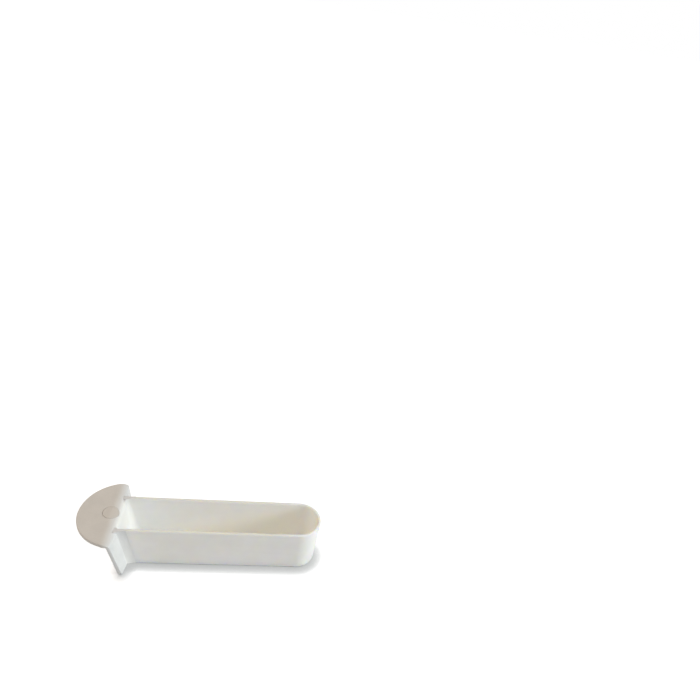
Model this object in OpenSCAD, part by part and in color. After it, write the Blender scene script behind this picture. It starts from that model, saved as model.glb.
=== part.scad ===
// Finger-plate trough for giving medicine to a cage bird: a thin drafted trough with a round
// far end, the finger plate that clasps its square end, and the peg that holds the two together.
// Millimetres. +X runs from the finger tab to the trough's round end and +Z is up.
// The origin is the middle of the outline, on the surface that the trough stands on.

/* [Trough] */
// Length at the rim, from the finger plate's seat to the tip of the round end
trough_l = 85; // [60:0.1:120]
// Width across the rim
trough_w = 19; // [16:0.1:25]
// Height from the underside to the rim
trough_h = 21.2; // [16:0.1:30]
// Thickness of the side walls
wall_t = 1.1; // [0.8:0.05:1.8]
// Thickness of the floor
floor_t = 1.2; // [0.8:0.1:2.5]
// Thickness of the end wall under the lip
end_wall_t = 1.1; // [0.8:0.05:1.8]
// Draft of the side walls and the round end, inside and out, in degrees
draft_a = 4; // [0.5:0.1:5]
// Lean of the end wall and of the flange on it, in degrees
end_a = 7.9; // [2:0.1:10]
// Radius of the two upright inner corners beside the end wall
corner_r = 4; // [2:0.1:6]

/* [Finger plate] */
// Radius of the finger tab's round edge
tab_r = 17.4; // [17:0.1:24]
// Reach of the tab from the seat
tab_reach = 15.9; // [12:0.1:24]
// Thickness of the tab
tab_t = 1.7; // [1.4:0.1:2.4]
// Thickness of the upright flange behind the trough's end wall, with which it leans
flange_t = 1; // [0.8:0.1:2.4]
// Angle by which the front of the flange's wings is swept back, in degrees
sweep_a = 8.6; // [4:0.1:20]
// Distance from the seat to the wings' root on the trough's side walls
wing_root = 1.6; // [0.8:0.1:2.5]
// Width across the wings at the top
wing_top_w = 34.4; // [30:0.1:44]
// Width across the wings at the foot
wing_foot_w = 28.2; // [25:0.1:40]
// Length of the collar along the trough's side walls
collar_l = 5.2; // [4:0.1:9]
// Thickness of the collar at the seat, inside the wings' root
collar_t = 0.9; // [0.5:0.05:1.5]
// Distance from the seat to the line where the flat top starts to roll over
roll_setback = 3.4; // [2:0.1:5]
// Drop of the rolled top at the lip's nose
lip_drop = 1.4; // [0.8:0.1:2.5]
// Height of the lip, from its underside to the rim
lip_h = 3.3; // [2.6:0.1:6]
// Length over which the side walls ramp down to the rolled top
ramp_l = 1.5; // [0.8:0.1:3]

/* [Retaining peg] */
// Diameter of the peg's head
peg_head_d = 6.4; // [5.4:0.1:9]
// Thickness of the peg's head
peg_head_t = 1; // [0.8:0.1:1.2]
// Diameter of the peg's shank
peg_d = 2.2; // [2:0.1:4]
// Distance from the flange's back face to the shank
peg_gap = 0.7; // [0.4:0.1:2]
// Material of the lug around the shank
lug_wall = 1.6; // [1.2:0.1:3]
// Height of the lug
lug_h = 6; // [4:0.1:9]
// Distance that the shank stops short of the lug's underside
peg_short = 0.5; // [0.2:0.1:2]

/* [Fits] */
// Gap around the lug and between the finger plate and the trough's side walls
slide_clear = 0.1; // [0.05:0.01:0.2]
// Radial gap around the peg's shank and head
peg_clear = 0.02; // [0.01:0.005:0.05]

/* [Hidden] */

$fn = 96;
over = 1;
white = [0.93, 0.93, 0.92];
warm_white = [0.88, 0.85, 0.81];
cream = [0.85, 0.81, 0.76];

seat_x = (tab_reach - trough_l) / 2;
draft = tan(draft_a);
end_draft = tan(end_a);
sweep = tan(sweep_a);
far = 2 * trough_l;
tip_r = trough_w / 2;
tip_x = trough_l - tip_r;
cavity_w = trough_w - 2 * wall_t;
socket_w = trough_w + 2 * slide_clear;
lip_z = trough_h - lip_h;
roll_run = roll_setback + end_wall_t + end_draft * lip_drop;
roll_r = (roll_run * roll_run + lip_drop * lip_drop) / (2 * lip_drop);
seat_drop = roll_r - sqrt(roll_r * roll_r - roll_setback * roll_setback);
collar_r = (collar_l * collar_l + collar_t * collar_t) / (2 * collar_t);
tab_under_z = trough_h - tab_t;
peg_x = -flange_t - peg_gap - peg_d / 2;
lug_r = peg_d / 2 + lug_wall;
lug_z = tab_under_z - lug_h;

// Distance that a drafted wall has moved in from its place at the rim, at a height
function lean_at(z) = draft * (trough_h - z);

// Distance that the leaning end wall has moved in from its place at the rim, at a height
function end_at(z) = end_draft * (trough_h - z);

// Half-width at a height between drafted walls that are top_w apart at the rim
function half_at(top_w, z) = top_w / 2 - lean_at(z);

// Extrudes a Y-Z outline along X from the start to the end
module along_x(from_x, to_x) {
    translate([from_x, 0, 0])
        rotate([90, 0, 90])
            linear_extrude(to_x - from_x)
                children();
}

// Extrudes an X-Z outline along Y, centred on the middle plane
module along_y(width) {
    rotate([90, 0, 0])
        linear_extrude(width, center = true)
            children();
}

// Long body between two drafted sides
module drafted_prism(top_w, low_z, high_z, from_x, to_x) {
    along_x(from_x, to_x)
        polygon([
            [-half_at(top_w, low_z), low_z],
            [half_at(top_w, low_z), low_z],
            [half_at(top_w, high_z), high_z],
            [-half_at(top_w, high_z), high_z]
        ]);
}

// Upright drafted cone with the given radius at the rim's height
module drafted_post(rim_r, low_z, high_z) {
    translate([0, 0, low_z])
        cylinder(
            h = high_z - low_z,
            r1 = half_at(2 * rim_r, low_z),
            r2 = half_at(2 * rim_r, high_z)
        );
}

// Slab that starts at a plane which leans as the end wall does and is at rim_x at the rim's height
module leaning_slab(rim_x, low_z, high_z, to_x, width) {
    along_y(width)
        polygon([
            [rim_x + end_at(low_z), low_z],
            [to_x, low_z],
            [to_x, high_z],
            [rim_x + end_at(high_z), high_z]
        ]);
}

// Outside of the trough, with its square end on the leaning seat
module trough_outside() {
    intersection() {
        drafted_prism(trough_w, 0, trough_h, -over, tip_x);
        leaning_slab(0, -over, trough_h + over, trough_l, trough_w + over);
    }
    translate([tip_x, 0, 0])
        drafted_post(tip_r, 0, trough_h);
}

// Hollow of the trough: rounded corners at the end wall and a round far end
module trough_hollow() {
    top_z = trough_h + over;
    corner_x = end_wall_t + 0.9 * corner_r;
    corner_y = cavity_w / 2 - corner_r;
    intersection() {
        union() {
            drafted_prism(cavity_w, floor_t, top_z, corner_x, tip_x);
            translate([0, -corner_y, floor_t])
                cube([corner_x, 2 * corner_y, top_z - floor_t]);
            for (side = [-1, 1])
                translate([corner_x, side * corner_y, 0])
                    drafted_post(corner_r, floor_t, top_z);
        }
        leaning_slab(end_wall_t, 0, top_z + over, trough_l, trough_w);
    }
    translate([tip_x, 0, 0])
        drafted_post(cavity_w / 2, floor_t, top_z);
}

// Lug under the tab, reaching back from inside the end wall to the peg
module lug(clear) {
    translate([0, 0, lug_z - clear])
        linear_extrude(lug_h + clear)
            union() {
                translate([peg_x, 0])
                    circle(r = lug_r + clear);
                translate([peg_x, -lug_r - clear])
                    square([end_wall_t - peg_x, 2 * (lug_r + clear)]);
            }
}

// Everything above the arc along which the flat top rolls down to the lip's nose
module roll_waste(width) {
    along_y(width)
        difference() {
            translate([-roll_setback, trough_h - roll_r])
                square([roll_r + trough_h, roll_r + over]);
            translate([-roll_setback, trough_h - roll_r])
                circle(r = roll_r);
        }
}

// Everything above the ramp from the rolled top at the seat up to the rim
module ramp_waste() {
    along_y(trough_w + 4 * collar_t)
        polygon([
            [-ramp_l, trough_h - 2 * seat_drop],
            [ramp_l, trough_h],
            [ramp_l, trough_h + over],
            [-ramp_l, trough_h + over]
        ]);
}

// Thin moulded trough with the lug behind its end wall
module trough() {
    color(white)
        translate([seat_x, 0, 0])
            difference() {
                union() {
                    trough_outside();
                    lug(0);
                }
                trough_hollow();
                drafted_prism(cavity_w, lip_z, trough_h + over, 0, end_wall_t + corner_r);
                ramp_waste();
                translate([peg_x, 0, lug_z - over])
                    cylinder(h = lug_h + 2 * over, r = peg_d / 2 + peg_clear);
            }
}

// Everything in front of a wing's front plane
module wing_waste(side) {
    translate([wing_root, side * trough_w / 2, trough_h])
        rotate([0, -atan(end_draft / sqrt(1 + sweep * sweep)), side * sweep_a])
            translate([0, -far / 2, -far / 2])
                cube([far, far, far]);
}

// Round plate of the finger tab, with straight shoulders
module tab_plate() {
    translate([0, 0, tab_under_z])
        linear_extrude(tab_t)
            intersection() {
                translate([tab_r - tab_reach, 0])
                    circle(r = tab_r);
                square([2 * tab_reach, wing_top_w], center = true);
            }
}

// Upright flange with a flat back, whose wings narrow to the foot
module flange() {
    intersection() {
        leaning_slab(-flange_t, 0, trough_h, tab_reach, wing_top_w + over);
        along_x(-tab_reach, tab_reach)
            polygon([
                [-wing_foot_w / 2, 0],
                [wing_foot_w / 2, 0],
                [wing_top_w / 2, trough_h],
                [-wing_top_w / 2, trough_h]
            ]);
    }
}

// Collar that hugs the trough's side walls and thins out along them
module collar() {
    difference() {
        intersection() {
            for (side = [-1, 1])
                translate([0, side * trough_w / 2, trough_h])
                    rotate([-side * draft_a, -end_a, 0])
                        linear_extrude(4 * trough_h, center = true)
                            difference() {
                                translate([(collar_l - flange_t) / 2, side * (collar_t - wall_t) / 2])
                                    square([collar_l + flange_t, collar_t + wall_t], center = true);
                                translate([collar_l, side * collar_r])
                                    circle(r = collar_r);
                            }
            along_y(wing_top_w)
                polygon([
                    [end_at(0) - flange_t / 2, 0],
                    [end_at(0) + collar_l, 0],
                    [collar_l, trough_h],
                    [-flange_t / 2, trough_h]
                ]);
        }
        ramp_waste();
    }
}

// Lip that hooks over the end wall, flush with its inside, and fills the space between the side walls
module lip() {
    difference() {
        intersection() {
            drafted_prism(cavity_w - 2 * slide_clear, lip_z, trough_h, 0, end_wall_t + corner_r);
            along_y(cavity_w)
                polygon([
                    [0, lip_z],
                    [end_wall_t + end_at(lip_z), lip_z],
                    [end_wall_t, trough_h],
                    [0, trough_h]
                ]);
        }
        roll_waste(cavity_w);
    }
}

// Tab, flange, wings and collar as one blank, with the rolled top and without the lip
module plate_blank() {
    difference() {
        union() {
            tab_plate();
            flange();
        }
        for (side = [-1, 1])
            wing_waste(side);
        roll_waste(wing_top_w + over);
    }
    collar();
}

// Room for the peg's head
module peg_recess() {
    translate([peg_x, 0, trough_h - peg_head_t])
        cylinder(h = peg_head_t + over, r = peg_head_d / 2 + peg_clear);
}

// Moulded head: tab, flange, wings, collar and lip in one piece, holed for the lug and the peg
module finger_plate() {
    color(warm_white)
        translate([seat_x, 0, 0]) {
            difference() {
                plate_blank();
                intersection() {
                    drafted_prism(socket_w, -over, trough_h + over, -over, trough_l);
                    leaning_slab(0, -over, trough_h + over, trough_l, wing_top_w);
                }
                lug(slide_clear);
                translate([peg_x, 0, tab_under_z - over])
                    cylinder(h = tab_t + 2 * over, r = peg_d / 2 + peg_clear);
                peg_recess();
            }
            difference() {
                lip();
                peg_recess();
            }
        }
}

// Peg with a thin head that is dressed flush with the tab and its roll
module retaining_peg() {
    color(cream)
        translate([seat_x, 0, 0])
            difference() {
                translate([peg_x, 0, 0]) {
                    translate([0, 0, trough_h - peg_head_t])
                        cylinder(h = peg_head_t, d = peg_head_d);
                    translate([0, 0, lug_z + peg_short])
                        cylinder(h = trough_h - peg_head_t / 2 - lug_z - peg_short, d = peg_d);
                }
                roll_waste(2 * peg_head_d);
            }
}

trough();
finger_plate();
retaining_peg();
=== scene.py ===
import math

import bmesh
import bpy
from mathutils import Matrix, Vector


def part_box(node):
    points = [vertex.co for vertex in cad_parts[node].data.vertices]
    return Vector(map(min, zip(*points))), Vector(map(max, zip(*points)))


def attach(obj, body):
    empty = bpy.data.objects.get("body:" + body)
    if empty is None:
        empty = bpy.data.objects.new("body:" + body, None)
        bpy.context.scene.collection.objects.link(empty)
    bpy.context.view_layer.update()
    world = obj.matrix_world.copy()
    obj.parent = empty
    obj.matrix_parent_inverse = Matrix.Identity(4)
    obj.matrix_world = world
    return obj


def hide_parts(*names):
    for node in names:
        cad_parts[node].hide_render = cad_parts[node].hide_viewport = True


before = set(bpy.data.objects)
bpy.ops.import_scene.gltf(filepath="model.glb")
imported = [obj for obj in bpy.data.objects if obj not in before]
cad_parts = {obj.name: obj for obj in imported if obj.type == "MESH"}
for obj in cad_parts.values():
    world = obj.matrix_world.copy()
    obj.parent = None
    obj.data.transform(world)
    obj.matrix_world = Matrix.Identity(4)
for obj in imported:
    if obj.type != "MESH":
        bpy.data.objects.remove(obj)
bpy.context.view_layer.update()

# Trough
# A slim open trough of white polypropylene, injection moulded in one shot. Its thin walls lean in towards
# the flat floor so that it leaves the mould, its far end is half round and its near end is square. A lug
# behind the end wall, out of sight under the finger tab, takes the peg.
MM = 0.001
trough_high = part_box("trough")[1]
plate_low, plate_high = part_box("finger_plate")
peg_low, peg_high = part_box("retaining_peg")
tab_reach = 15.9 * MM
tab_thickness = 1.7 * MM
seat_x = plate_low.x + tab_reach
rim_z = trough_high.z
under_z = rim_z - tab_thickness
half_width = trough_high.y
round_x = trough_high.x - half_width - seat_x
wall = 1.1 * MM
floor_thickness = 1.2 * MM
draft = math.tan(math.radians(4))
end_draft = math.tan(math.radians(7.9))
inner_corner = 4 * MM
# Shapes count X from the seat, the end wall's outer face at the rim. The finger plate's top rolls down from
# behind it to a nose over the end wall, and the ends of the side walls slope down to that roll.
lip_z = rim_z - 3.3 * MM
roll_start = -3.4 * MM
nose_drop = 1.4 * MM
roll_run = wall + end_draft * nose_drop - roll_start
roll_radius = (roll_run ** 2 + nose_drop ** 2) / (2 * nose_drop)
seat_drop = roll_radius - math.sqrt(roll_radius ** 2 - roll_start ** 2)
ramp = 5 * MM
peg_x = (peg_low.x + peg_high.x) / 2 - seat_x
shank_radius = 1.1 * MM
lug_radius = 2.7 * MM
lug_low = under_z - 6 * MM
# The gaps of a push fit and of a press fit, and how far a cutting shape reaches past what it cuts.
fit_gap = 0.03 * MM
press_gap = 0.02 * MM
overrun = 1 * MM


def linear(hex_colour):
    """An sRGB hex colour as linear RGBA."""
    channels = [int(hex_colour[i:i + 2], 16) / 255 for i in (1, 3, 5)]
    return [c / 12.92 if c <= 0.04045 else ((c + 0.055) / 1.055) ** 2.4 for c in channels] + [1.0]


def add(tree, kind, inputs=None, tones=(), **settings):
    """Adds a node with its settings and a ramp's tones. An input is linked to a socket or set to a value."""
    node = tree.nodes.new(kind)
    for name, value in settings.items():
        setattr(node, name, value)
    for key, value in (inputs or {}).items():
        if isinstance(value, bpy.types.NodeSocket):
            tree.links.new(value, node.inputs[key])
        else:
            node.inputs[key].default_value = value
    for i, (position, colour) in enumerate(tones):
        node.color_ramp.elements[i].position = position
        node.color_ramp.elements[i].color = linear(colour)
    return node


# Polypropylene from a polished steel mould: satin, faintly milky because light enters it, and with pale
# clouds and streaks that follow the flow of the melt along the trough.
polypropylene_ior = 1.49
trough_plastic = bpy.data.materials.new("moulded polypropylene, white")
trough_plastic.use_nodes = True
tree = trough_plastic.node_tree
plastic = tree.nodes["Principled BSDF"]
plastic.inputs["IOR"].default_value = polypropylene_ior
plastic.inputs["Subsurface Radius"].default_value = (1.0, 0.8, 0.5)
plastic.inputs["Subsurface Scale"].default_value = 2.5 * MM
place = add(tree, "ShaderNodeTexCoord").outputs["Object"]
spot = add(tree, "ShaderNodeSeparateXYZ", {0: place}).outputs
# Less light enters the walls at the seat, where the finger plate backs them. It rises from 4 to 8 mm on.
milky = add(tree, "ShaderNodeMapRange", {
    0: spot[0], 1: seat_x + 4 * MM, 2: seat_x + 8 * MM, 3: 0.3, 4: 0.9,
})
tree.links.new(milky.outputs[0], plastic.inputs["Subsurface Weight"])
# Clouds are 11 mm across, and flow streaks are 2 mm wide and eight times as long.
clouds = add(tree, "ShaderNodeTexNoise", {"Vector": place, "Scale": 1 / (11 * MM), "Detail": 3.0})
along = add(tree, "ShaderNodeMapping", {"Vector": place, "Scale": (1 / 8, 1, 1)})
streaks = add(tree, "ShaderNodeTexNoise", {
    "Vector": along.outputs[0], "Scale": 1 / (2 * MM), "Detail": 4.0,
})
mottle = add(tree, "ShaderNodeMix", {0: 0.15, 2: clouds.outputs[0], 3: streaks.outputs[0]})
whites = ((0.35, "#f0f0ed"), (0.65, "#f5f5f3"))
tint = add(tree, "ShaderNodeValToRGB", {0: mottle.outputs[0]}, whites)
# The inside begins 0.4 to 0.9 mm in from the outer face, measured from the middle line of the plan and with
# the draft taken out.
round_place = seat_x + round_x
end_run = add(tree, "ShaderNodeMath", {0: spot[0], 1: round_place}, operation="SUBTRACT").outputs[0]
end_run = add(tree, "ShaderNodeMath", {0: end_run, 1: 0.0}, operation="MAXIMUM").outputs[0]
plan = add(tree, "ShaderNodeCombineXYZ", {0: end_run, 1: spot[1]}).outputs[0]
off_line = add(tree, "ShaderNodeVectorMath", {0: plan}, operation="LENGTH").outputs["Value"]
depth = add(tree, "ShaderNodeMath", {0: rim_z, 1: spot[2]}, operation="SUBTRACT").outputs[0]
off_line = add(tree, "ShaderNodeMath", {0: depth, 1: draft, 2: off_line}, operation="MULTIPLY_ADD").outputs[0]
inner_face = half_width - 0.9 * MM
inside = add(tree, "ShaderNodeMapRange", {
    0: off_line, 1: inner_face, 2: inner_face + 0.5 * MM, 3: 1.0, 4: 0.0,
}).outputs[0]
# Painted warm shade: the inside is a shade creamier low down and towards the round end, along the shadow that
# the round end casts inside, and whiter again in the last 10 mm. The painted shade's edge runs 3.3 mm along
# for each mm of depth.
shade_edge_slope = 3.3
far_down = add(tree, "ShaderNodeMath", {
    0: depth, 1: shade_edge_slope, 2: spot[0],
}, operation="MULTIPLY_ADD").outputs[0]
low = add(tree, "ShaderNodeMapRange", {0: far_down, 1: seat_x + 64 * MM, 2: seat_x + 88 * MM}).outputs[0]
tip = add(tree, "ShaderNodeMapRange", {
    0: spot[0], 1: seat_x + 72 * MM, 2: seat_x + 82 * MM, 3: 1.0, 4: 0.3,
}).outputs[0]
painted_shade_share = add(tree, "ShaderNodeMath", {0: inside, 1: low}, operation="MULTIPLY").outputs[0]
painted_shade_share = add(tree, "ShaderNodeMath", {0: painted_shade_share, 1: tip}, operation="MULTIPLY").outputs[0]
# The cream of the painted warm shade.
cream = linear("#f8f3ea")
tint = add(tree, "ShaderNodeMix", {0: painted_shade_share, 6: tint.outputs[0], 7: cream}, data_type="RGBA")
# Painted shade: the straight rims' tops are a shade darker than the walls, to hold back the light from above,
# in their last 0.4 mm and up to the round end.
rim_shade_share = add(tree, "ShaderNodeMapRange", {0: depth, 1: 0.1 * MM, 2: 0.4 * MM, 3: 1.0, 4: 0.0}).outputs[0]
straight = add(tree, "ShaderNodeMapRange", {
    0: spot[0], 1: round_place - 10 * MM, 2: round_place, 3: 1.0, 4: 0.0,
}).outputs[0]
rim_shade_share = add(tree, "ShaderNodeMath", {0: rim_shade_share, 1: straight}, operation="MULTIPLY").outputs[0]
# The colour of the painted shade on the rims.
painted_rim_shade = linear("#e8e6dc")
tint = add(tree, "ShaderNodeMix", {0: rim_shade_share, 6: tint.outputs[2], 7: painted_rim_shade}, data_type="RGBA")
tree.links.new(tint.outputs[2], plastic.inputs["Base Color"])
# The streaks are a little glossier or duller, with a roughness from 0.38 to 0.48.
gloss = add(tree, "ShaderNodeMapRange", {0: streaks.outputs[0], 1: 0.3, 2: 0.7, 3: 0.38, 4: 0.48})
tree.links.new(gloss.outputs[0], plastic.inputs["Roughness"])
# The mould's fine texture is near 0.1 mm, and is drawn at 0.7 mm so that it shows.
grain = add(tree, "ShaderNodeTexNoise", {"Vector": place, "Scale": 1 / (0.7 * MM), "Detail": 2.0})
bump = add(tree, "ShaderNodeBump", {"Height": grain.outputs[0], "Strength": 0.12, "Distance": 0.02 * MM})
tree.links.new(bump.outputs[0], plastic.inputs["Normal"])

# The wall's section runs from the middle of the underside up the outside, over the rim and down to the
# middle of the floor. Each of its points is carried round the plan: two square corners at the seat and a
# half circle at the far end.
wall_tree = bpy.data.node_groups.new("drafted trough wall", "GeometryNodeTree")
tree = wall_tree
tree.interface.new_socket("Geometry", in_out="OUTPUT", socket_type="NodeSocketGeometry")
trough_sizes = {
    "Half Width": half_width,
    "Rim Height": rim_z,
    "Wall": wall,
    "Floor": floor_thickness,
    "Foot Lean": draft * rim_z,
    "Floor Lean": draft * (rim_z - floor_thickness),
    "Round End": round_x,
    "Draft": draft,
    "End Lean": end_draft - draft,
    "Inner Corner": inner_corner + wall,
    "Rim Corner": 1.2 * MM,
    "Corner Growth": 0.2,
    "Outer Corner": 0.05 * MM,
    "Foot Edge": 0.5 * MM,
    "Rim Edge": 0.35 * MM,
    "Floor Edge": 1.0 * MM,
}
identifiers = {}
for name in trough_sizes:
    socket = tree.interface.new_socket(name, in_out="INPUT", socket_type="NodeSocketFloat")
    identifiers[name] = socket.identifier
size = add(tree, "NodeGroupInput").outputs
floor_edge = add(tree, "ShaderNodeMath", {0: size["Wall"], 1: size["Floor Lean"]}, operation="ADD")
section_points = [
    add(tree, "ShaderNodeCombineXYZ", {0: size["Half Width"]}),
    add(tree, "ShaderNodeCombineXYZ", {0: size["Foot Lean"]}),
    add(tree, "ShaderNodeCombineXYZ", {2: size["Rim Height"]}),
    add(tree, "ShaderNodeCombineXYZ", {0: size["Wall"], 2: size["Rim Height"]}),
    add(tree, "ShaderNodeCombineXYZ", {0: floor_edge.outputs[0], 2: size["Floor"]}),
    add(tree, "ShaderNodeCombineXYZ", {0: size["Half Width"], 2: size["Floor"]}),
]
point = add(tree, "GeometryNodeInputIndex").outputs[0]
corner = add(tree, "GeometryNodeIndexSwitch", {0: point}, data_type="VECTOR")
edge = add(tree, "GeometryNodeIndexSwitch", {0: point}, data_type="FLOAT")
# A new switch has two places.
for further_point in section_points[2:]:
    corner.index_switch_items.new()
    edge.index_switch_items.new()
for i, section_point in enumerate(section_points):
    tree.links.new(section_point.outputs[0], corner.inputs[i + 1])
for i, name in ((1, "Foot Edge"), (2, "Rim Edge"), (3, "Rim Edge"), (4, "Floor Edge")):
    tree.links.new(size[name], edge.inputs[i + 1])
line = add(tree, "GeometryNodeMeshLine", {"Count": len(section_points)})
line = add(tree, "GeometryNodeMeshToCurve", {0: line.outputs[0]})
line = add(tree, "GeometryNodeSetPosition", {"Geometry": line.outputs[0], "Position": corner.outputs[0]})
section = add(tree, "GeometryNodeFilletCurve", {
    "Curve": line.outputs[0], "Radius": edge.outputs[0], "Count": 5, "Limit Radius": True,
}, mode="POLY")
rows = add(tree, "GeometryNodeAttributeDomainSize", {0: section.outputs[0]}, component="CURVE").outputs[0]

# A ring has 24 points on each of four quarter turns, and a last one on its first. Quarters 0 and 3 are the
# corners at the seat, and 1 and 2 make the round end.
steps = 24
columns = 4 * steps + 1
grid = add(tree, "GeometryNodeMeshGrid", {"Vertices X": rows, "Vertices Y": columns})
index = add(tree, "GeometryNodeInputIndex").outputs[0]
row = add(tree, "ShaderNodeMath", {0: index, 1: float(columns)}, operation="DIVIDE")
row = add(tree, "ShaderNodeMath", {0: row.outputs[0]}, operation="FLOOR").outputs[0]
step = add(tree, "ShaderNodeMath", {0: index, 1: float(columns)}, operation="MODULO").outputs[0]
step = add(tree, "ShaderNodeMath", {0: step, 1: 4.0 * steps}, operation="MODULO").outputs[0]
turn = add(tree, "ShaderNodeMath", {0: step, 1: float(steps)}, operation="DIVIDE").outputs[0]
quarter = add(tree, "ShaderNodeMath", {0: turn}, operation="FLOOR").outputs[0]
part = add(tree, "ShaderNodeMath", {0: turn}, operation="FRACT").outputs[0]
turned = add(tree, "ShaderNodeMath", {
    0: part, 1: steps / (steps - 1), 2: quarter,
}, operation="MULTIPLY_ADD").outputs[0]
angle = add(tree, "ShaderNodeMath", {
    0: turned, 1: math.pi / 2, 2: -math.pi,
}, operation="MULTIPLY_ADD").outputs[0]
from_middle = add(tree, "ShaderNodeMath", {0: quarter, 1: 1.5}, operation="SUBTRACT").outputs[0]
side = add(tree, "ShaderNodeMath", {0: from_middle}, operation="SIGN").outputs[0]
distance = add(tree, "ShaderNodeMath", {0: from_middle}, operation="ABSOLUTE").outputs[0]
far = add(tree, "ShaderNodeMath", {0: distance, 1: 1.0}, operation="LESS_THAN").outputs[0]

# Inside, the corners at the seat are tight at the rim and grow downwards, and outside they are sharp.
position = add(tree, "GeometryNodeInputPosition").outputs[0]
sampled = add(tree, "GeometryNodeSampleIndex", {
    0: section.outputs[0], "Value": position, "Index": row,
}, data_type="FLOAT_VECTOR", domain="POINT")
sampled = add(tree, "ShaderNodeSeparateXYZ", {0: sampled.outputs[0]}).outputs
inset = sampled[0]
reach = add(tree, "ShaderNodeMath", {0: size["Half Width"], 1: inset}, operation="SUBTRACT").outputs[0]
middle_row = add(tree, "ShaderNodeMath", {0: rows, 1: 2.0}, operation="DIVIDE").outputs[0]
inside = add(tree, "ShaderNodeMath", {0: row, 1: middle_row}, operation="GREATER_THAN").outputs[0]
depth = add(tree, "ShaderNodeMath", {0: size["Rim Height"], 1: sampled[2]}, operation="SUBTRACT").outputs[0]
hollow = add(tree, "ShaderNodeMath", {
    0: depth, 1: size["Draft"], 2: size["Inner Corner"],
}, operation="MULTIPLY_ADD").outputs[0]
hollow = add(tree, "ShaderNodeMath", {0: hollow, 1: inset}, operation="SUBTRACT").outputs[0]
hollow = add(tree, "ShaderNodeMath", {0: hollow, 1: 0.0}, operation="MAXIMUM").outputs[0]
tight = add(tree, "ShaderNodeMath", {
    0: depth, 1: size["Corner Growth"], 2: size["Rim Corner"],
}, operation="MULTIPLY_ADD").outputs[0]
hollow = add(tree, "ShaderNodeMath", {0: hollow, 1: tight}, operation="MINIMUM").outputs[0]
bend = add(tree, "ShaderNodeMix", {0: inside, 2: size["Outer Corner"], 3: hollow}).outputs[0]
bend = add(tree, "ShaderNodeMath", {0: bend, 1: reach}, operation="MINIMUM").outputs[0]
radius = add(tree, "ShaderNodeMix", {0: far, 2: bend, 3: reach}).outputs[0]
near_x = add(tree, "ShaderNodeMath", {0: inset, 1: bend}, operation="ADD").outputs[0]
near_x = add(tree, "ShaderNodeMath", {
    0: depth, 1: size["End Lean"], 2: near_x,
}, operation="MULTIPLY_ADD").outputs[0]
centre_x = add(tree, "ShaderNodeMix", {0: far, 2: near_x, 3: size["Round End"]}).outputs[0]
centre_y = add(tree, "ShaderNodeMath", {0: reach, 1: radius}, operation="SUBTRACT").outputs[0]
centre_y = add(tree, "ShaderNodeMath", {0: centre_y, 1: side}, operation="MULTIPLY").outputs[0]
cosine = add(tree, "ShaderNodeMath", {0: angle}, operation="COSINE").outputs[0]
sine = add(tree, "ShaderNodeMath", {0: angle}, operation="SINE").outputs[0]
ring_x = add(tree, "ShaderNodeMath", {0: radius, 1: cosine, 2: centre_x}, operation="MULTIPLY_ADD")
ring_y = add(tree, "ShaderNodeMath", {0: radius, 1: sine, 2: centre_y}, operation="MULTIPLY_ADD")
ring = add(tree, "ShaderNodeCombineXYZ", {0: ring_x.outputs[0], 1: ring_y.outputs[0], 2: sampled[2]})
shell = add(tree, "GeometryNodeSetPosition", {"Geometry": grid.outputs[0], "Position": ring.outputs[0]})
shell = add(tree, "GeometryNodeMergeByDistance", {"Geometry": shell.outputs[0], "Distance": 0.002 * MM})
shell = add(tree, "GeometryNodeRealizeInstances", {0: shell.outputs[0]})
shell = add(tree, "GeometryNodeSetMaterial", {"Geometry": shell.outputs[0], "Material": trough_plastic})
add(tree, "NodeGroupOutput", {0: shell.outputs[0]})


def settle(piece):
    """Turns a piece with modifiers into a plain mesh."""
    depsgraph = bpy.context.evaluated_depsgraph_get()
    plain = bpy.data.meshes.new_from_object(piece.evaluated_get(depsgraph))
    piece.modifiers.clear()
    piece.data = plain


def new_piece(name, shape):
    """A linked object with the mesh that a bmesh holds."""
    bmesh.ops.recalc_face_normals(shape, faces=shape.faces)
    mesh = bpy.data.meshes.new(name)
    shape.to_mesh(mesh)
    shape.free()
    piece = bpy.data.objects.new(name, mesh)
    bpy.context.collection.objects.link(piece)
    return piece


def lofted(name, rings):
    """A closed solid through rings that have equal numbers of points."""
    shape = bmesh.new()
    loops = [[shape.verts.new(spot) for spot in ring] for ring in rings]
    count = len(loops[0])
    for low, high in zip(loops, loops[1:]):
        for i in range(count):
            shape.faces.new((low[i], low[i - 1], high[i - 1], high[i]))
    shape.faces.new(loops[0])
    shape.faces.new(loops[-1])
    return new_piece(name, shape)


def circle(x, radius, z, count=64):
    """Points round an upright axis."""
    turns = [2 * math.pi * i / count for i in range(count)]
    return [(x + radius * math.cos(a), radius * math.sin(a), z) for a in turns]


def combine(piece, solid, operation):
    """Joins a solid to a piece or cuts it out of the piece, and takes the solid away."""
    joint = piece.modifiers.new("combine", "BOOLEAN")
    joint.operation = operation
    joint.solver = "EXACT"
    joint.object = solid
    settle(piece)
    bpy.data.objects.remove(solid)


def lean(z):
    """How far a drafted wall has moved in from its place at the rim."""
    return draft * (rim_z - z)


def end_lean(z):
    """How far the leaning end wall has moved in from its place at the rim."""
    return end_draft * (rim_z - z)


def lug_outline(z, clear):
    """The lug's plan: straight sides from the end wall to a round end about the peg."""
    r = lug_radius + clear
    bow_steps = 24
    bow = [math.pi * (0.5 + i / bow_steps) for i in range(bow_steps + 1)]
    points = [(peg_x + r * math.cos(a), r * math.sin(a), z) for a in bow]
    return points + [(wall, -r, z), (wall, r, z)]


def ramp_waste():
    """All that stands above the slope from the rolled top at the seat up to the rim."""
    top = rim_z + overrun
    slope = [(-ramp, rim_z - 2 * seat_drop), (ramp, rim_z), (ramp, top), (-ramp, top)]
    past_collar = half_width + 3 * MM
    return lofted("ramp", [[(x, y, z) for x, z in slope] for y in (-past_collar, past_collar)])


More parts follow.
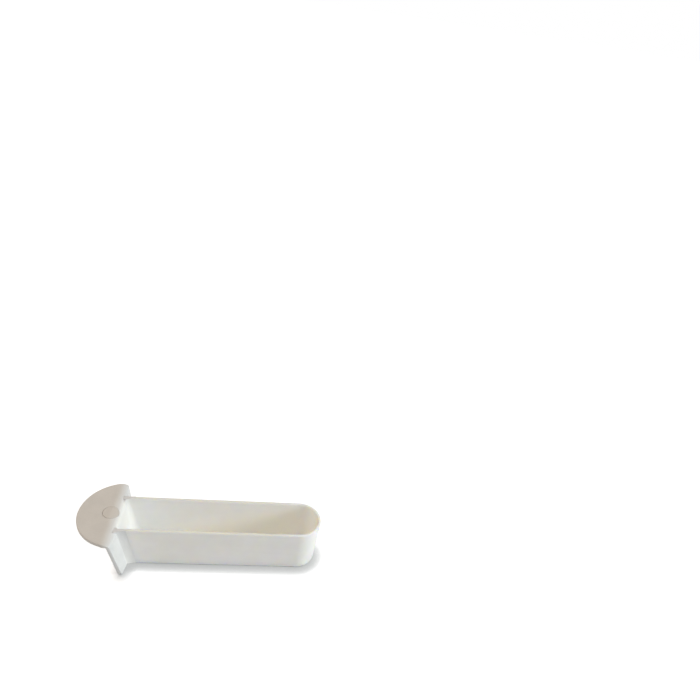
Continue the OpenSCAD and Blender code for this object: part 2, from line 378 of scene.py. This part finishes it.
def finish(piece):
    """Smooth shading that breaks at the true edges, with the piece moved to its place in the frame."""
    true_edge = math.radians(32)
    piece.data.shade_smooth()
    piece.data.set_sharp_from_angle(angle=true_edge)
    weighting = piece.modifiers.new("weighted normals", "WEIGHTED_NORMAL")
    weighting.keep_sharp = True
    settle(piece)
    piece.data.transform(Matrix.Translation((seat_x, 0, 0)))


trough = bpy.data.objects.new("moulded_trough", bpy.data.meshes.new("moulded_trough"))
bpy.context.collection.objects.link(trough)
wall_maker = trough.modifiers.new("drafted trough wall", "NODES")
wall_maker.node_group = wall_tree
for name, value in trough_sizes.items():
    wall_maker[identifiers[name]] = value
settle(trough)
# All faces point outwards before anything is joined to the wall or cut out of it.
shape = bmesh.new()
shape.from_mesh(trough.data)
bmesh.ops.recalc_face_normals(shape, faces=shape.faces)
shape.to_mesh(trough.data)
shape.free()
combine(trough, lofted("lug", [lug_outline(z, 0) for z in (lug_low, under_z)]), "UNION")
# The end wall stops under the lip, between the side walls.
notch = []
for z in (lip_z, rim_z + overrun):
    half = half_width - wall - lean(z)
    face = wall + end_lean(z) + fit_gap
    notch.append([(-overrun, -half, z), (face, -half, z), (face, half, z), (-overrun, half, z)])
combine(trough, lofted("notch", notch), "DIFFERENCE")
combine(trough, ramp_waste(), "DIFFERENCE")
bore = [circle(peg_x, shank_radius + press_gap, z) for z in (lug_low - overrun, rim_z)]
combine(trough, lofted("bore", bore), "DIFFERENCE")
finish(trough)
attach(trough, "root")
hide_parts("trough")

# Finger plate
# The head that closes the trough's square end: a half-disc tab whose top rolls over into a lip, an upright
# flange whose two swept wings stop it at the opening that the trough goes through, and a thin collar along
# the trough's sides. Moulded in one piece of the same polypropylene, it hooks over the end wall.
tab_radius = 17.4 * MM
flange_thickness = 1.0 * MM
wing_top = plate_high.y
wing_foot = 14.1 * MM
wing_root = 1.6 * MM
sweep = math.tan(math.radians(8.6))
head_radius = 3.2 * MM
head_thickness = 1.35 * MM


def matt_plastic(name, cloud_size):
    """A moulded plastic with a matt grain, which still lacks its colour, with its clouds and its grain."""
    material = bpy.data.materials.new(name)
    material.use_nodes = True
    tree = material.node_tree
    plastic = tree.nodes["Principled BSDF"]
    plastic.inputs["IOR"].default_value = polypropylene_ior
    plastic.inputs["Subsurface Weight"].default_value = 0.1
    plastic.inputs["Subsurface Radius"].default_value = (1.0, 0.9, 0.75)
    plastic.inputs["Subsurface Scale"].default_value = 0.5 * MM
    place = add(tree, "ShaderNodeTexCoord").outputs["Object"]
    clouds = add(tree, "ShaderNodeTexNoise", {"Vector": place, "Scale": 1 / cloud_size, "Detail": 3.0})
    # The grain is drawn at 0.6 mm, coarser than the real one so that it shows.
    grain = add(tree, "ShaderNodeTexNoise", {"Vector": place, "Scale": 1 / (0.6 * MM), "Detail": 2.0})
    # The clouds are a little glossier or duller, with a roughness from 0.42 to 0.52.
    gloss = add(tree, "ShaderNodeMapRange", {0: clouds.outputs[0], 1: 0.3, 2: 0.7, 3: 0.42, 4: 0.52})
    tree.links.new(gloss.outputs[0], plastic.inputs["Roughness"])
    bump = add(tree, "ShaderNodeBump", {"Height": grain.outputs[0], "Strength": 0.2, "Distance": 0.02 * MM})
    tree.links.new(bump.outputs[0], plastic.inputs["Normal"])
    return material, clouds.outputs[0], grain.outputs[0]


# The same plastic with less gloss and a fine matt grain, in clouds 7 mm across. The tab is warmer and darker
# than the wings and the lip, partly its own tone and partly a painted warm shade on its upward top.
plate_plastic, clouds, grain = matt_plastic("moulded polypropylene, warm white", 7 * MM)
tree = plate_plastic.node_tree
mottle = add(tree, "ShaderNodeMix", {0: 0.25, 2: clouds, 3: grain}).outputs[0]
warm_tones_with_shade = ((0.35, "#d0cac2"), (0.65, "#d7d1c9"))
cool_tones = ((0.35, "#dfe0e0"), (0.65, "#e6e7e7"))
warm = add(tree, "ShaderNodeValToRGB", {0: mottle}, warm_tones_with_shade).outputs[0]
cool = add(tree, "ShaderNodeValToRGB", {0: mottle}, cool_tones).outputs[0]
# The warm tone and its painted shade fade out over the roll, from 2.5 mm behind the seat to 1 mm in front of
# it.
place = add(tree, "ShaderNodeTexCoord").outputs["Object"]
spot = add(tree, "ShaderNodeSeparateXYZ", {0: place}).outputs
tab_share = add(tree, "ShaderNodeMapRange", {
    0: spot[0], 1: seat_x - 2.5 * MM, 2: seat_x + 1 * MM, 3: 1.0, 4: 0.0,
}).outputs[0]
# The warm tone and painted shade are on the top alone: the flange, from 1.5 to 3 mm below the rim, is as cool
# as the trough.
top_share = add(tree, "ShaderNodeMapRange", {0: spot[2], 1: rim_z - 3 * MM, 2: rim_z - 1.5 * MM}).outputs[0]
warm_tone_and_shade_share = add(tree, "ShaderNodeMath", {0: tab_share, 1: top_share}, operation="MULTIPLY").outputs[0]
tint = add(tree, "ShaderNodeMix", {0: warm_tone_and_shade_share, 6: cool, 7: warm}, data_type="RGBA").outputs[2]
# Painted light: the lip between the walls is painted as pale as the trough, lighter than the wings.
off_middle = add(tree, "ShaderNodeMath", {0: spot[1]}, operation="ABSOLUTE").outputs[0]
between = add(tree, "ShaderNodeMapRange", {
    0: off_middle, 1: half_width - 1 * MM, 2: half_width, 3: 1.0, 4: 0.0,
}).outputs[0]
lip_light_share = add(tree, "ShaderNodeMapRange", {0: spot[0], 1: seat_x - 0.5 * MM, 2: seat_x + 1 * MM}).outputs[0]
lip_light_share = add(tree, "ShaderNodeMath", {0: between, 1: lip_light_share}, operation="MULTIPLY").outputs[0]
pale = linear("#f6f6f3")
tint = add(tree, "ShaderNodeMix", {0: lip_light_share, 6: tint, 7: pale}, data_type="RGBA").outputs[2]
tree.links.new(tint, tree.nodes["Principled BSDF"].inputs["Base Color"])

# The head is a flat blank bent along lines across it. Each line is a station with a place on the upper face
# and one on the lower face, which depend on where the front face is.
crease_edge = 0.45 * MM
elbow_edge = 0.6 * MM
roll_steps = 10
edge_steps = 5


def front_x(y):
    """Where the head's front face is at the rim's height. It is swept back outside the walls."""
    return wing_root - sweep * max(0.0, abs(y) - half_width)


def roll_spot(turn):
    """The rolled top's place after a turn from the flat, as X from the seat and height."""
    return Vector((roll_start + roll_radius * math.sin(turn), rim_z - roll_radius * (1 - math.cos(turn))))


def eased(first, corner, last, count):
    """A corner rounded off from one point to another."""
    shares = [i / count for i in range(count + 1)]
    return [(1 - t) ** 2 * first + 2 * t * (1 - t) * corner + t ** 2 * last for t in shares]


def head_profile(front):
    """Places of the stations on the upper and the lower face, as X from the seat and height."""
    tilt = math.atan(end_draft)
    crease_run = (front - roll_start + end_draft * roll_radius) * math.cos(tilt)
    crease_turn = math.asin(crease_run / roll_radius) - tilt
    crease = roll_spot(crease_turn)
    foot = Vector((front + end_lean(0), 0))
    down = (foot - crease).normalized()
    roll_turn = crease_turn - crease_edge / roll_radius
    upper = [Vector((-tab_reach, rim_z))]
    upper += [roll_spot(roll_turn * i / roll_steps) for i in range(roll_steps + 1)]
    upper += eased(upper[-1], crease, crease + down * crease_edge, edge_steps)[1:]
    upper += [foot]
    elbow = Vector((end_lean(under_z) - flange_thickness, under_z))
    elbow_start = elbow - Vector((elbow_edge, 0))
    flat_start = Vector((roll_start, under_z))
    lower = [Vector((-tab_reach, under_z))]
    lower += [flat_start.lerp(elbow_start, i / roll_steps) for i in range(roll_steps + 1)]
    lower += eased(elbow_start, elbow, elbow + down * elbow_edge, edge_steps)[1:]
    lower += [Vector((end_lean(0) - flange_thickness, 0))]
    return upper, lower


tip_upper = head_profile(front_x(wing_top))[0]
stations = [0.0]
for first, last in zip(tip_upper, tip_upper[1:]):
    stations.append(stations[-1] + (last - first).length)

# The blank's outline: the tab's round edge, its straight shoulders and the wings, which narrow to the foot.
tab_steps = 32
shoulder = math.asin(wing_top / tab_radius)
bow = [shoulder * (i / tab_steps - 1) for i in range(2 * tab_steps + 1)]
outline = [(tab_radius - tab_radius * math.cos(a), tab_radius * math.sin(a)) for a in bow]
crease_s = stations[-2] - crease_edge
foot_s = stations[-1]
outline += [(crease_s, wing_top), (foot_s, wing_foot), (foot_s, -wing_foot), (crease_s, -wing_top)]
shape = bmesh.new()
faces = [[shape.verts.new((s, y, depth)) for s, y in outline] for depth in (0, tab_thickness)]
for i in range(len(outline)):
    shape.faces.new((faces[0][i], faces[0][i - 1], faces[1][i - 1], faces[1][i]))
shape.faces.new(faces[0])
shape.faces.new(faces[1])
bmesh.ops.recalc_face_normals(shape, faces=shape.faces)
# The foot's corners are rounded, and then every edge round the two faces.
foot_round = 0.8 * MM
rim_round = 0.4 * MM
level = 0.01 * MM
uprights = [e for e in shape.edges if abs(e.verts[0].co.z - e.verts[1].co.z) > level]
foot_corners = [e for e in uprights if all(v.co.x > foot_s - level for v in e.verts)]
bmesh.ops.bevel(shape, geom=foot_corners, offset=foot_round, segments=5, profile=0.5, affect="EDGES")
rims = [e for e in shape.edges if abs(e.verts[0].co.z - e.verts[1].co.z) < level]
bmesh.ops.bevel(shape, geom=rims, offset=rim_round, segments=4, profile=0.5, affect="EDGES")
folds = [((station, 0, 0), (1, 0, 0)) for station in stations[1:-1]]
for y in (half_width, 11.5 * MM, 13.4 * MM, 15.3 * MM):
    folds += [((0, y, 0), (0, 1, 0)), ((0, -y, 0), (0, 1, 0))]
for fold_spot, across in folds:
    everything = shape.verts[:] + shape.edges[:] + shape.faces[:]
    bmesh.ops.bisect_plane(shape, geom=everything, plane_co=fold_spot, plane_no=across, dist=0.001 * MM)
for vertex in shape.verts:
    s, y, depth = vertex.co
    k = 0
    while k < len(stations) - 2 and s > stations[k + 1]:
        k += 1
    share = (s - stations[k]) / (stations[k + 1] - stations[k])
    upper, lower = head_profile(front_x(y))
    above = upper[k].lerp(upper[k + 1], share)
    below = lower[k].lerp(lower[k + 1], share)
    bent = above.lerp(below, depth / tab_thickness)
    vertex.co = (bent.x, y, bent.y)
plate = new_piece("moulded_finger_plate", shape)
plate.data.materials.append(plate_plastic)
# The trough's end goes into a socket between the wings.
socket_rings = []
for z in (-overrun, rim_z + overrun):
    half = half_width - lean(z) - fit_gap
    back = end_lean(z)
    socket_rings.append([(back, -half, z), (tab_reach, -half, z), (tab_reach, half, z), (back, half, z)])
combine(plate, lofted("socket", socket_rings), "DIFFERENCE")

# The lip carries the roll on over the end wall and fills the space between the side walls. It starts in
# front of the seat and is rooted in the flange.
lip_start = 0.02 * MM
lip_root = 0.5 * MM
nose_edge = 0.35 * MM
nose_steps = 4
nose_turn = math.asin(roll_run / roll_radius)
nose = roll_spot(nose_turn)
lip_foot = Vector((wall + end_lean(lip_z), lip_z))
lip_turn = math.asin((lip_start - roll_start) / roll_radius)
top_turn = nose_turn - nose_edge / roll_radius - lip_turn
lip = [roll_spot(lip_turn + top_turn * i / nose_steps) for i in range(nose_steps + 1)]
lip += eased(lip[-1], nose, nose + (lip_foot - nose).normalized() * nose_edge, nose_steps)[1:]
lip += [lip_foot, Vector((end_lean(lip_z) - lip_root, lip_z))]
lip_sides = []
for hand in (-1, 1):
    lip_sides.append([(p.x, hand * (half_width - wall - lean(p.y) - fit_gap), p.y) for p in lip])
combine(plate, lofted("lip", lip_sides), "UNION")

# The collar is tangent to the trough's side wall at its end and thickens towards the wing, where it is
# rooted. It is sunk a little into the wall's place.
collar_length = 5.2 * MM
collar_thickness = 0.9 * MM
collar_root = 0.3 * MM
collar_sink = 0.05 * MM
collar_foot = 0.03 * MM
collar_steps = 16
collar_radius = (collar_length ** 2 + collar_thickness ** 2) / (2 * collar_thickness)
for hand in (-1, 1):
    collar_rings = []
    for z in (collar_foot, rim_z):
        face = half_width - lean(z)
        spots = [(collar_root, face - collar_sink)]
        for i in range(collar_steps + 1):
            x = collar_root + (collar_length - collar_root) * i / collar_steps
            rise = collar_radius - math.sqrt(collar_radius ** 2 - (collar_length - x) ** 2)
            spots.append((x, face + rise))
        spots += [(collar_length, face - collar_sink)]
        collar_rings.append([(end_lean(z) + x, hand * y, z) for x, y in spots])
    collar = lofted("collar", collar_rings)
    combine(collar, ramp_waste(), "DIFFERENCE")
    combine(plate, collar, "UNION")

# A slot in the flange lets the lug through, and the tab is holed for the peg and its head, which has a fine
# groove round it.
slot_gap = 0.1 * MM
groove = 0.1 * MM
slot_rings = [lug_outline(z, slot_gap) for z in (lug_low - slot_gap, under_z)]
combine(plate, lofted("slot", slot_rings), "DIFFERENCE")
hole = [circle(peg_x, shank_radius + press_gap, z) for z in (under_z - overrun, rim_z + overrun)]
combine(plate, lofted("hole", hole), "DIFFERENCE")
recess = [circle(peg_x, head_radius + groove, z) for z in (rim_z - head_thickness, rim_z + overrun)]
combine(plate, lofted("recess", recess), "DIFFERENCE")
finish(plate)
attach(plate, "root")
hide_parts("finger_plate")

# Retaining peg
# A plain pin of the same plastic with a thin round head, pressed from above through the tab into the
# trough's lug. Its head stands a hair above the tab in a fine groove and follows the start of the roll.
head_rise = 0.14 * MM
head_edge = 0.12 * MM
shank_foot = lug_low + 0.5 * MM
shank_chamfer = 0.4 * MM

# Polypropylene again, a shade creamier than the tab, with the same matt grain and clouds 4 mm across.
peg_plastic, clouds = matt_plastic("moulded polypropylene, cream", 4 * MM)[:2]
tree = peg_plastic.node_tree
cream_tones = ((0.35, "#cec7be"), (0.65, "#d5cec5"))
tint = add(tree, "ShaderNodeValToRGB", {0: clouds}, cream_tones).outputs[0]
tree.links.new(tint, tree.nodes["Principled BSDF"].inputs["Base Color"])


def head_ring(radius, below):
    """A ring on the peg's head, at a depth below the tab's flat or rolled top."""
    ring = []
    for x, y, z in circle(peg_x, radius, rim_z - below):
        run = max(0.0, x - roll_start)
        ring.append((x, y, z - roll_radius + math.sqrt(roll_radius ** 2 - run ** 2)))
    return ring


peg_rings = [
    circle(peg_x, shank_radius - shank_chamfer, shank_foot),
    circle(peg_x, shank_radius, shank_foot + shank_chamfer),
    circle(peg_x, shank_radius, rim_z - head_thickness),
    circle(peg_x, head_radius, rim_z - head_thickness),
    head_ring(head_radius, head_edge - head_rise),
    head_ring(head_radius - head_edge, -head_rise),
]
peg_rings += [head_ring(head_radius * share, -head_rise) for share in (0.8, 0.6, 0.4, 0.2, 0.05)]
peg = lofted("pressed_peg", peg_rings)
peg.data.materials.append(peg_plastic)
finish(peg)
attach(peg, "root")
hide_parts("retaining_peg")

# Studio
# A white floor that takes the trough's shadow, soft light all round, a cool lamp low on the right, a soft
# one in front whose light also passes the thin walls and a weak warm one on the left.
floor_half = 8.0
floor_z = -0.02 * MM
floor_mesh = bpy.data.meshes.new("studio_floor")
corner_signs = ((-1, -1), (1, -1), (1, 1), (-1, 1))
floor_corners = [(i * floor_half, j * floor_half, floor_z) for i, j in corner_signs]
floor_mesh.from_pydata(floor_corners, [], [(0, 1, 2, 3)])
floor = bpy.data.objects.new("studio_floor", floor_mesh)
bpy.context.collection.objects.link(floor)


def seen_itself(tree):
    """A share that is 1 for rays that show a backdrop and 0 for those that carry its light to the object."""
    rays = add(tree, "ShaderNodeLightPath").outputs
    seen = rays["Is Camera Ray"]
    for further_ray in ("Is Glossy Ray", "Is Transmission Ray"):
        seen = add(tree, "ShaderNodeMath", {0: seen, 1: rays[further_ray]}, operation="MAXIMUM").outputs[0]
    return seen


# White paper without gloss. It glows where it is seen, so that it is white, and whitens from 0.1 m outwards.
paper = bpy.data.materials.new("white paper backdrop")
paper.use_nodes = True
tree = paper.node_tree
tree.nodes.clear()
lit = add(tree, "ShaderNodeBsdfDiffuse", {"Color": linear("#c6c6c6")})
from_trough = add(tree, "ShaderNodeTexCoord").outputs["Object"]
from_trough = add(tree, "ShaderNodeVectorMath", {0: from_trough}, operation="LENGTH").outputs["Value"]
glow_level = add(tree, "ShaderNodeMapRange", {0: from_trough, 1: 0.1, 2: 0.4, 3: 0.75, 4: 1.0}).outputs[0]
glow_level = add(tree, "ShaderNodeMath", {
    0: seen_itself(tree), 1: glow_level,
}, operation="MULTIPLY").outputs[0]
# The glow is held back within 5 mm of the trough on the sides away from the back left, where its shadow is.
back_left = add(tree, "ShaderNodeCombineXYZ", {0: -0.5, 1: 0.65, 2: 0.57}).outputs[0]
nearby = add(tree, "ShaderNodeAmbientOcclusion", {"Distance": 5 * MM, "Normal": back_left}, samples=8)
nearby = add(tree, "ShaderNodeMath", {0: nearby.outputs["AO"], 1: 2.5}, operation="POWER").outputs[0]
glow_level = add(tree, "ShaderNodeMath", {0: glow_level, 1: nearby}, operation="MULTIPLY").outputs[0]
glow = add(tree, "ShaderNodeEmission", {"Strength": glow_level})
both = add(tree, "ShaderNodeAddShader", {0: lit.outputs[0], 1: glow.outputs[0]})
add(tree, "ShaderNodeOutputMaterial", {"Surface": both.outputs[0]})
floor_mesh.materials.append(paper)

world = bpy.data.worlds.new("studio")
world.use_nodes = True
bpy.context.scene.world = world
tree = world.node_tree
tree.nodes.clear()
room = add(tree, "ShaderNodeBackground", {"Color": linear("#f2f1ef"), "Strength": 0.46})
white = add(tree, "ShaderNodeBackground", {"Color": linear("#ffffff"), "Strength": 1.0})
mixed = add(tree, "ShaderNodeMixShader", {0: seen_itself(tree), 1: room.outputs[0], 2: white.outputs[0]})
add(tree, "ShaderNodeOutputWorld", {"Surface": mixed.outputs[0]})


def soft_lamp(name, place, size, power, colour, shadow):
    """A square lamp that faces the trough."""
    light = bpy.data.lights.new(name, "AREA")
    light.size = size
    light.energy = power
    light.color = linear(colour)[:3]
    light.use_shadow = shadow
    lamp = bpy.data.objects.new(name, light)
    lamp.location = place
    trough_middle = Vector((0, 0, 10 * MM))
    lamp.rotation_euler = (trough_middle - Vector(place)).to_track_quat("-Z", "Y").to_euler()
    bpy.context.collection.objects.link(lamp)


soft_lamp("key_lamp", (0.6, -0.12, 0.24), size=0.14, power=2.45, colour="#f4faf9", shadow=True)
soft_lamp("front_lamp", (0.05, -0.7, 0.75), size=0.5, power=1.5, colour="#fafbff", shadow=False)
soft_lamp("left_lamp", (-0.5, 0.15, 0.5), size=0.2, power=0.9, colour="#ffdcb4", shadow=True)

# Camera
# The photograph's view: a slightly wide lens above the front of the trough, turned a little to the right
# of straight ahead, dipped and rolled.
camera_data = bpy.data.cameras.new("camera")
camera_data.sensor_width = 36
camera_data.lens = 31
camera_data.clip_start = 0.01
camera = bpy.data.objects.new("camera", camera_data)
bpy.context.collection.objects.link(camera)
camera_place = Vector((21.11, -184.67, 219.77)) * MM
yaw = math.radians(9.237)
dip = math.radians(30.763)
roll = math.radians(-9.094)
across = Vector((math.cos(yaw), -math.sin(yaw), 0))
ahead = Vector((math.sin(yaw), math.cos(yaw), 0))
forward = ahead * math.cos(dip) - Vector((0, 0, math.sin(dip)))
up = ahead * math.sin(dip) + Vector((0, 0, math.cos(dip)))
camera_right = across * math.cos(roll) - up * math.sin(roll)
camera_up = across * math.sin(roll) + up * math.cos(roll)
view = Matrix((camera_right, camera_up, -forward)).transposed().to_4x4()
view.translation = camera_place
camera.matrix_world = view
bpy.context.scene.camera = camera
bpy.context.scene.view_settings.view_transform = "Standard"
